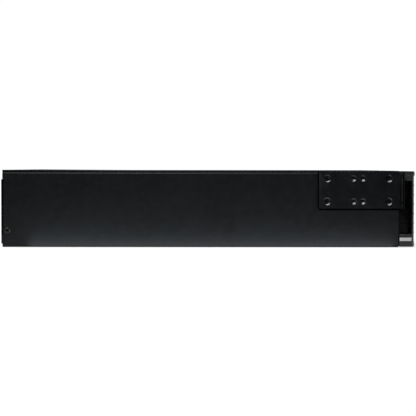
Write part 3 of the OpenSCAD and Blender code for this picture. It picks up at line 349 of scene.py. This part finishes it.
# rear_coat: painted shade on the faces that look towards -X
M["rear_coat"] = coated("rear_coat", (0.0036, 0.0047, 0.0058), 0.5, spec=0.2, mottle=0.15, grain=820, depth=0.00007, strength=0.55, wear=(0.1, 0.105, 0.11), wear_r=0.0004, shade=((-1.0, 0.0, 0.0), (0.0003, 0.0004, 0.0005)))
M["side_screw"] = coated("side_screw", (0.009, 0.0088, 0.008), 0.36, grain=2500, depth=0.00002, strength=0.3, spec=0.24, wear=(0.3, 0.29, 0.24), wear_r=0.00025)
M["zinc_sheet"] = sheet_metal("zinc_sheet", (0.5, 0.51, 0.52))
M["dark_screw"] = coated("dark_screw", (0.003, 0.003, 0.0034), 0.34, grain=2500, depth=0.00002, strength=0.3, spec=0.35, wear=(0.3, 0.3, 0.3), wear_r=0.0002)
M["galvanised"] = sheet_metal("galvanised", (0.2, 0.205, 0.21), rough=0.55, tint=(0.27, 0.275, 0.28))
M["black_screw"] = coated("black_screw", (0.02, 0.021, 0.023), 0.26, grain=2500, depth=0.00002, strength=0.3, spec=0.9, wear=(0.55, 0.55, 0.56), wear_r=0.0003)
M["bright_screw"] = sheet_metal("bright_screw", (0.6, 0.6, 0.61), rough=0.26, scratch=(200, 30, 200))
# bezel_plastic: painted shading, lighter towards the top, and a painted highlight on the faces turned to the front
# corner
M["bezel_plastic"] = coated("bezel_plastic", (0.0105, 0.0108, 0.0112), 0.46, spec=0.25, painted_height_shading=(1.6, 2.3, 0.008, 0.078), grain=1100, depth=0.00005, strength=0.5, wear=(0.16, 0.16, 0.165), wear_r=0.0007, dust=0.02, painted_highlight=((0.16, 0.16, 0.16), (-0.66, -0.75, 0.0), 0.86, 0.97))
M["black_plastic"] = plastic("black_plastic", (0.013, 0.013, 0.0145), 0.42)
# far darker than black_plastic: painted shade for the rails and clips deep in the bezel recess
M["rail_plastic"] = coated("rail_plastic", (0.0011, 0.0011, 0.0017), 0.6, grain=1300, depth=0.00003, strength=0.3, spec=0.08)
M["mesh_steel"] = coated("mesh_steel", (0.01, 0.01, 0.011), 0.4, grain=1800, depth=0.00002, strength=0.3)
M["silver_trim"] = sheet_metal("silver_trim", (0.72, 0.72, 0.70), rough=0.38, scratch=(4, 4, 900), tint=(0.82, 0.82, 0.8))
M["battery_case"] = plastic("battery_case", (0.045, 0.048, 0.052), 0.5, grain=700, depth=0.00006)
M["tin"] = sheet_metal("tin", (0.72, 0.72, 0.7), rough=0.24)
M["red_wire"] = plastic("red_wire", (0.42, 0.02, 0.015), 0.38, wear=False)
M["black_wire"] = plastic("black_wire", (0.014, 0.014, 0.015), 0.38, wear=False)
M["amber_plastic"] = plastic("amber_plastic", (0.5, 0.24, 0.03), 0.35)
M["white_plastic"] = plastic("white_plastic", (0.7, 0.69, 0.65), 0.4)
M["display_black"] = plastic("display_black", (0.008, 0.008, 0.009), 0.16, grain=300, depth=0.00001, strength=0.1, spec=0.6)
M["light_pipe"] = plastic("light_pipe", (0.2, 0.62, 0.28), 0.2, wear=False)
M["button_grey"] = plastic("button_grey", (0.07, 0.072, 0.076), 0.38)
M["circuit_board"] = board_material("circuit_board")
M["brass"] = sheet_metal("brass", (0.62, 0.46, 0.2), rough=0.28, tint=(0.68, 0.52, 0.26))
M["heat_sink"] = sheet_metal("heat_sink", (0.62, 0.63, 0.64), rough=0.36, scratch=(900, 6, 6), tint=(0.66, 0.67, 0.68))
M["semiconductor"] = plastic("semiconductor", (0.014, 0.014, 0.014), 0.55)
M["capacitor_sleeve"] = plastic("capacitor_sleeve", (0.02, 0.03, 0.085), 0.22, grain=200, depth=0.00002)
M["relay_blue"] = plastic("relay_blue", (0.02, 0.07, 0.26), 0.28)
M["copper"] = copper_winding("copper", (0.55, 0.26, 0.1))
M["core_steel"] = laminations("core_steel")
M["nickel"] = sheet_metal("nickel", (0.62, 0.61, 0.58), rough=0.24)
M["red_button"] = plastic("red_button", (0.42, 0.02, 0.015), 0.25)


def lens_material():
    m = Mat("display_lens")
    n = m.noise(40.0, 3.0)
    m.set(color=m.mix(m.range(n, 0, 1, 0.3, 0.7), (0.035, 0.04, 0.045), (0.05, 0.056, 0.06)), rough=m.range(m.noise(180.0, 4.0, 0.7), 0.05, 0.13, 0.4, 0.7),
          coat=1.0, coat_rough=0.03, alpha=0.42)
    return m.m


def lcd_material():
    m = Mat("lcd")
    n = m.noise(900.0, 1.0)
    m.set(color=m.mix(m.range(n, 0, 1, 0.35, 0.65), (0.19, 0.26, 0.22), (0.23, 0.31, 0.26)), rough=m.range(m.noise(60.0, 2.0), 0.3, 0.42, 0.3, 0.7))
    m.bump([(n, 0.00002, 0.2)])
    return m.m


M["display_lens"] = lens_material()
M["lcd"] = lcd_material()

slot_of = {s["node"]: s["material_slot"] for s in frame["record"]["subparts"]}


def finish_cad(name, material, bevel=0.0, angle=32, segs=2):
    o = N[name]
    me = o.data
    if me.materials:
        for i in range(len(me.materials)):
            me.materials[i] = material
    else:
        me.materials.append(material)
    w = o.modifiers.new("weld", "WELD")
    w.merge_threshold = 0.000002
    if bevel:
        d = o.modifiers.new("flat", "DECIMATE")
        d.decimate_type = "DISSOLVE"
        d.angle_limit = math.radians(0.6)
        b = o.modifiers.new("bevel", "BEVEL")
        b.width = bevel
        b.segments = segs
        b.limit_method = "ANGLE"
        b.angle_limit = math.radians(angle)
        b.harden_normals = True
        b.use_clamp_overlap = True


BEVELS = {
    "chassis_base": 0.0003, "top_cover": 0.0004, "rear_panel": 0.0003, "left_ear": 0.0003, "right_ear": 0.0003,
    "bezel_frame": 0.0005, "bezel_rails": 0.0003, "trim_strips": 0.0003, "tray_front": 0.0003, "tray_handle": 0.0005,
    "display_housing": 0.0004, "power_button": 0.0003, "menu_button_left": 0.0003, "menu_button_middle": 0.0003, "menu_button_right": 0.0003,
    "outlet_banks": 0.0003, "power_inlet": 0.0003, "slot_cover": 0.0003, "breaker_body": 0.0003, "side_screws": 0.0002, "ear_screws": 0.00012,
    "thumbscrew_left": 0.0002, "thumbscrew_right": 0.0002, "relays": 0.0004, "power_transistors": 0.0003, "batteries": 0.0012,
    "tray_connector": 0.0004, "chassis_connector": 0.0004, "comm_ports": 0.0002,
}
for name in N:
    other = {"bezel_rails": "rail_plastic", "bezel_clips": "rail_plastic", "ear_screws": "dark_screw", "cover_screws": "dark_screw", "side_screws": "side_screw", "rear_panel": "rear_coat", "holddown_bar": "galvanised", "battery_tray": "galvanised"}
    material = M[other.get(name, slot_of[name])]
    finish_cad(name, material, BEVELS.get(name, 0.0))

# ------------------------------------------------------------------ finer pieces

yf, yr = -228.25, 228.25             # front and rear edges of the chassis, in millimetres


def piece(name, bm, material, body, smooth=False, replaced=()):
    me = bpy.data.meshes.new(name)
    bmesh.ops.recalc_face_normals(bm, faces=bm.faces)
    bm.to_mesh(me)
    bm.free()
    for p in me.polygons:
        p.use_smooth = smooth
    me.materials.append(material)
    o = bpy.data.objects.new(name, me)
    bpy.context.scene.collection.objects.link(o)
    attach(o, body)
    if replaced:
        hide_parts(*replaced)
    return o


def add_box(bm, x0, x1, y0, y1, z0, z1):
    c = [bm.verts.new((x * MM, y * MM, z * MM)) for x in (x0, x1) for y in (y0, y1) for z in (z0, z1)]
    for f in ((0, 1, 3, 2), (4, 6, 7, 5), (0, 4, 5, 1), (2, 3, 7, 6), (0, 2, 6, 4), (1, 5, 7, 3)):
        bm.faces.new([c[i] for i in f])


def perforated_sheet(x0, x1, z0, z1, y0, y1, pitch, web):
    """Hexagonal holes in a thin sheet that has a plain edge all round."""
    bm = bmesh.new()
    cell = pitch / math.sqrt(3)
    hole = cell * (1 - web / pitch)
    ang = [math.radians(30 + 60 * k) for k in range(6)]
    j = 0
    z = z0 + cell
    while z + cell <= z1:
        x = x0 + pitch / 2 + (j % 2) * pitch / 2
        while x + pitch / 2 <= x1:
            rings = []
            for rad, y in ((cell, y0), (hole, y0), (hole, y1), (cell, y1)):
                rings.append([bm.verts.new(((x + rad * math.cos(a)) * MM, y * MM, (z + rad * math.sin(a)) * MM)) for a in ang])
            for k in range(6):
                n = (k + 1) % 6
                for a, b in ((0, 1), (1, 2), (2, 3)):
                    bm.faces.new((rings[a][k], rings[a][n], rings[b][n], rings[b][k]))
            x += pitch
        z += 1.5 * cell
        j += 1
    top = z + cell - 1.5 * cell
    e = 0.04
    add_box(bm, x0, x1, y0 - e, y1 + e, z0, z0 + cell)
    add_box(bm, x0, x1, y0 - e, y1 + e, top - cell, z1)
    add_box(bm, x0, x0 + pitch * 0.75, y0 - e, y1 + e, z0, z1)
    add_box(bm, x1 - pitch * 0.95, x1, y0 - e, y1 + e, z0, z1)
    return bm


piece("bezel_mesh_hex", perforated_sheet(-187.4, 106, 15.3, 78, yf - 11.9, yf - 11.1, 4.6, 1.0), M["mesh_steel"], "bezel", replaced=("bezel_mesh",))


def revolve(bm, profile, cx, cz, steps=56):
    """profile: (radius, y) points in millimetres, turned about an axis along Y."""
    rings = []
    for r, y in profile:
        if r < 1e-6:
            rings.append([bm.verts.new((cx * MM, y * MM, cz * MM))])
        else:
            rings.append([bm.verts.new(((cx + r * math.cos(2 * math.pi * i / steps)) * MM, y * MM, (cz + r * math.sin(2 * math.pi * i / steps)) * MM)) for i in range(steps)])
    for a, b in zip(rings, rings[1:]):
        for i in range(steps):
            n = (i + 1) % steps
            q = [a[i % len(a)], a[n % len(a)], b[n % len(b)], b[i % len(b)]]
            q = [v for k, v in enumerate(q) if v not in q[:k]]
            if len(q) > 2:
                bm.faces.new(q)


def fan_rotor_shape(cx, cz, y0, y1, blades=7):
    bm = bmesh.new()
    revolve(bm, [(0, y0), (12.6, y0), (14.4, y0 + 0.3), (15, y0 + 0.9), (15, y1 - 2.0), (14.5, y1 - 0.8), (13.2, y1), (9.0, y1), (8.6, y1 - 0.35), (0, y1 - 0.35)], cx, cz)
    mid = (y0 + y1) / 2 - 0.3
    for b in range(blades):
        start = 2 * math.pi * b / blades
        grid = []
        for i in range(9):
            t = i / 8
            r = 14.6 + (27.3 - 14.6) * t
            beta = math.radians(50 - 20 * t)
            chord = 15.5 + 4.5 * t
            sweep = 0.34 * t * t
            row = []
            for side in (1, -1):
                for k in range(9):
                    u = (k / 8 * 2 - 1) * side
                    thick = 0.62 * (1 - 0.75 * u ** 4) * side
                    camber = 1.5 * (1 - u * u) + thick
                    tang = u * chord / 2 * math.cos(beta) - camber * math.sin(beta)
                    ax = u * chord / 2 * math.sin(beta) + camber * math.cos(beta)
                    a = start + sweep + tang / r
                    row.append(bm.verts.new(((cx + r * math.cos(a)) * MM, (mid + ax) * MM, (cz + r * math.sin(a)) * MM)))
            grid.append(row)
        for p, q in zip(grid, grid[1:]):
            for k in range(18):
                n = (k + 1) % 18
                bm.faces.new((p[k], p[n], q[n], q[k]))
        bm.faces.new(grid[-1])
    return bm


rotor = piece("fan_rotor_curved", fan_rotor_shape(150, 41, yr - 22.8, yr - 3), M["black_plastic"], "fan_rotor_body", smooth=True, replaced=("fan_rotor",))
split = rotor.modifiers.new("edges", "EDGE_SPLIT")
split.split_angle = math.radians(42)


def segment_digit(bm, digit, x, z, w, h, t, y0, y1):
    """A seven-segment digit whose lower left corner is at x, z."""
    on = {0: "abcdef", 1: "bc", 2: "abdeg", 3: "abcdg", 7: "abc", 8: "abcdefg", 5: "acdfg", 4: "bcfg", 6: "acdefg", 9: "abcdfg"}[digit]
    g = t * 0.35
    if "a" in on:
        add_box(bm, x + t + g - t, x + w - g, y0, y1, z + h - t, z + h)
    if "d" in on:
        add_box(bm, x + g, x + w - g, y0, y1, z, z + t)
    if "g" in on:
        add_box(bm, x + t + g, x + w - t - g, y0, y1, z + h / 2 - t / 2, z + h / 2 + t / 2)
    if "b" in on:
        add_box(bm, x + w - t, x + w, y0, y1, z + h / 2 + g, z + h - t - g)
    if "c" in on:
        add_box(bm, x + w - t, x + w, y0, y1, z + t + g, z + h / 2 - g)
    if "f" in on:
        add_box(bm, x, x + t, y0, y1, z + h / 2 + g, z + h - t - g)
    if "e" in on:
        add_box(bm, x, x + t, y0, y1, z + t + g, z + h / 2 - g)


ink = plastic("lcd_ink", (0.012, 0.016, 0.014), 0.5, wear=False)
bm = bmesh.new()
ya, yb = yf - 14.06, yf - 13.99
for i, d in enumerate((1, 2, 0)):
    segment_digit(bm, d, 135 + i * 8.2, 44, 5.6, 11, 1.1, ya, yb)
for i, d in enumerate((6, 0)):
    segment_digit(bm, d, 161.5 + i * 4, 49, 2.7, 5.4, 0.55, ya, yb)
for x, n in ((125.5, 5), (166.8, 2)):
    for e in ((x - 0.7, x + 3.5, 33.1, 33.4), (x - 0.7, x + 3.5, 62.6, 62.9), (x - 0.7, x - 0.4, 33.1, 62.9), (x + 3.2, x + 3.5, 33.1, 62.9)):
        if x < 130:
            add_box(bm, e[0], e[1], ya, yb, e[2], e[3])
    for k in range(n if x < 130 else 0):
        add_box(bm, x, x + 2.8, ya, yb, 34.2 + k * 5.7, 38.8 + k * 5.7)
for k in range(12):
    add_box(bm, 134 + k * 2.7, 135.9 + k * 2.7, ya, yb, 34.5, 38.5) if k < 7 else add_box(bm, 134 + k * 2.7, 135.9 + k * 2.7, ya, yb, 34.5, 34.9)
piece("lcd_segments", bm, ink, "chassis")

bm = bmesh.new()
steps = 40
ring = []
for i in range(steps + 1):
    a = math.radians(90 + 38) + (2 * math.pi - math.radians(76)) * i / steps
    ring.append([bm.verts.new(((183 + r * math.cos(a)) * MM, y * MM, (57.7 + r * math.sin(a)) * MM)) for r, y in ((2.25, yf - 16.88), (2.25, yf - 16.95), (2.8, yf - 16.95), (2.8, yf - 16.88))])
for p, q in zip(ring, ring[1:]):
    for k in range(4):
        bm.faces.new((p[k], p[(k + 1) % 4], q[(k + 1) % 4], q[k]))
bm.faces.new(ring[0])
bm.faces.new(ring[-1])
add_box(bm, 182.72, 183.28, yf - 16.95, yf - 16.88, 58.0, 61.1)
piece("power_symbol", bm, plastic("print_white", (0.6, 0.6, 0.58), 0.45, wear=False), "power_button_body")

# ------------------------------------------------------------------ camera

PX = 1.15 * MM                       # size of one photo pixel at the side panel
side_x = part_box("chassis_base")[0][0]
front_y = -0.22825
D = 1.8
cam_data = bpy.data.cameras.new("camera")
cam = bpy.data.objects.new("camera", cam_data)
bpy.context.scene.collection.objects.link(cam)
cam_data.sensor_width = 36.0
RISE = 0.0466                        # the camera stands a little above the middle of the side and points down at it
TILT = math.atan(RISE / D)
cam_data.lens = 36.0 * math.hypot(D, RISE) / (416 * PX)
cam_data.clip_start = 0.05
cam_data.clip_end = 60.0
cam.location = (side_x - D, front_y + (399.3 - 208.0) * PX, 0.0451 + RISE)
look = Vector((1, 0, 0))
q = look.to_track_quat("-Z", "Y")
cam.rotation_mode = "QUATERNION"
cam.rotation_quaternion = Matrix.Rotation(math.radians(-0.04), 3, "X").to_quaternion() @ q @ Matrix.Rotation(-TILT, 3, "X").to_quaternion()
bpy.context.scene.camera = cam

# ------------------------------------------------------------------ floor and light

scene = bpy.context.scene
scene.view_settings.view_transform = "Standard"
scene.view_settings.look = "None"
scene.view_settings.exposure = 0.0
scene.view_settings.gamma = 1.0

bm = bmesh.new()
bmesh.ops.create_grid(bm, x_segments=2, y_segments=2, size=0.28)
me = bpy.data.meshes.new("floor")
bm.to_mesh(me)
bm.free()
floor = bpy.data.objects.new("floor", me)
floor.location = (0, 0, -0.0002)
scene.collection.objects.link(floor)
fm = Mat("floor_paint")
fm.set(color=fm.mix(fm.range(fm.noise(2.0, 3.0), 0, 1, 0.3, 0.7), (0.2, 0.2, 0.2), (0.22, 0.22, 0.22)), rough=0.9, spec=0.1, emit=(1, 1, 1), emit_strength=0.7)
me.materials.append(fm.m)

world = bpy.data.worlds.new("studio")
scene.world = world
world.use_nodes = True
wt = world.node_tree
for n in list(wt.nodes):
    wt.nodes.remove(n)
out = wt.nodes.new("ShaderNodeOutputWorld")
back = wt.nodes.new("ShaderNodeBackground")
back.inputs["Color"].default_value = (1, 1, 1, 1)
back.inputs["Strength"].default_value = 1.02
soft = wt.nodes.new("ShaderNodeBackground")
tc = wt.nodes.new("ShaderNodeTexCoord")
sep = wt.nodes.new("ShaderNodeSeparateXYZ")
ramp = wt.nodes.new("ShaderNodeMapRange")
ramp.inputs["From Min"].default_value = 0.0
ramp.inputs["From Max"].default_value = 0.9
ramp.inputs["To Min"].default_value = 0.0
ramp.inputs["To Max"].default_value = 0.3
wt.links.new(tc.outputs["Generated"], sep.inputs[0])
wt.links.new(sep.outputs["Z"], ramp.inputs["Value"])
wt.links.new(ramp.outputs["Result"], soft.inputs["Strength"])
soft.inputs["Color"].default_value = (0.97, 0.985, 1.0, 1)
lp = wt.nodes.new("ShaderNodeLightPath")
mx = wt.nodes.new("ShaderNodeMixShader")
wt.links.new(lp.outputs["Is Camera Ray"], mx.inputs[0])
wt.links.new(soft.outputs[0], mx.inputs[1])
wt.links.new(back.outputs[0], mx.inputs[2])
wt.links.new(mx.outputs[0], out.inputs[0])


def area(name, loc, target, size, power, color=(1, 1, 1), size_y=None):
    d = bpy.data.lights.new(name, "AREA")
    d.energy = power
    d.color = color
    d.shape = "RECTANGLE"
    d.size = size
    d.size_y = size_y or size
    o = bpy.data.objects.new(name, d)
    o.location = loc
    o.rotation_mode = "QUATERNION"
    o.rotation_quaternion = (Vector(target) - Vector(loc)).to_track_quat("-Z", "Y")
    scene.collection.objects.link(o)
    return o


area("key_soft", (-1.7, 0.45, 1.75), (-0.2, 0, 0.05), 0.7, 46, size_y=0.7)
area("top_soft", (0.25, 0.15, 2.0), (0.05, 0, 0), 1.1, 60)
area("front_soft", (1.0, -2.2, 1.2), (0, 0, 0.05), 1.2, 30, size_y=0.9)
area("rear_soft", (0.9, 2.2, 1.2), (0, 0, 0.05), 1.2, 34, size_y=0.9)
area("table_glow", (side_x - 0.011, -0.012, 0.0005), (side_x - 0.011, -0.012, 1.0), 0.02, 0.122, size_y=0.42)
area("front_edge", (-1.0, -2.2, 0.7), (-0.2, -0.24, 0.05), 0.5, 9)
